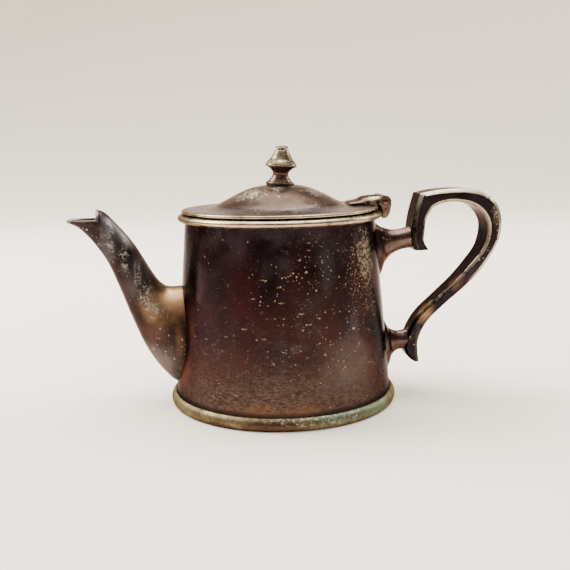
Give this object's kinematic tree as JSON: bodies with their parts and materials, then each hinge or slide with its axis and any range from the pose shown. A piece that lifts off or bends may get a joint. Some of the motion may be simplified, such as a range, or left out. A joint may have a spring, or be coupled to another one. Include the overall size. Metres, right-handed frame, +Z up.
{
  "type": "teapot",
  "caption": "Silver-plated metal teapot: round tapered body, curved spout, hinged domed lid with a turned finial, and a flat-sided loop handle on flared sockets",
  "frame": {"origin": "On the table, midway between the spout lip and the back of the handle and midway across the foot", "axes": "+X runs toward the handle, with the spout along -X; +Y runs across the pot; +Z is up from the table"},
  "size_m": [0.2082, 0.1104, 0.1225],
  "materials": {
    "tarnished_plate": "worn silver plate with a dark brown tarnish over nickel silver",
    "bare_nickel": "bare nickel silver where the plate has worn through, pitted",
    "inner_plate": "satin plate, dull",
    "hinge_metal": "darkened plate, worn at the edges"
  },
  "bodies": {
    "pot": {"body_shell": "tarnished_plate", "base_plate": "inner_plate", "foot_ring": "bare_nickel", "rim_bead": "bare_nickel", "spout": "tarnished_plate", "handle_grip": "tarnished_plate", "upper_handle_socket": "tarnished_plate", "lower_handle_socket": "tarnished_plate", "hinge_bracket": "hinge_metal", "hinge_pin": "bare_nickel"},
    "lid": {"lid_shell": "tarnished_plate", "lid_edge_wire": "bare_nickel", "lid_collar": "inner_plate", "lid_hinge_leaf": "hinge_metal", "finial_base": "tarnished_plate", "finial_cap": "bare_nickel", "finial_screw": "bare_nickel", "finial_washer": "bare_nickel", "finial_nut": "bare_nickel"}
  },
  "joints": [
    {"name": "lid_hinge", "type": "hinge", "parent": "pot", "child": "lid", "pos_m": [0.04548, 0, 0.0951], "axis": [0, 1, 0], "range_deg": [0, 105]}
  ]
}
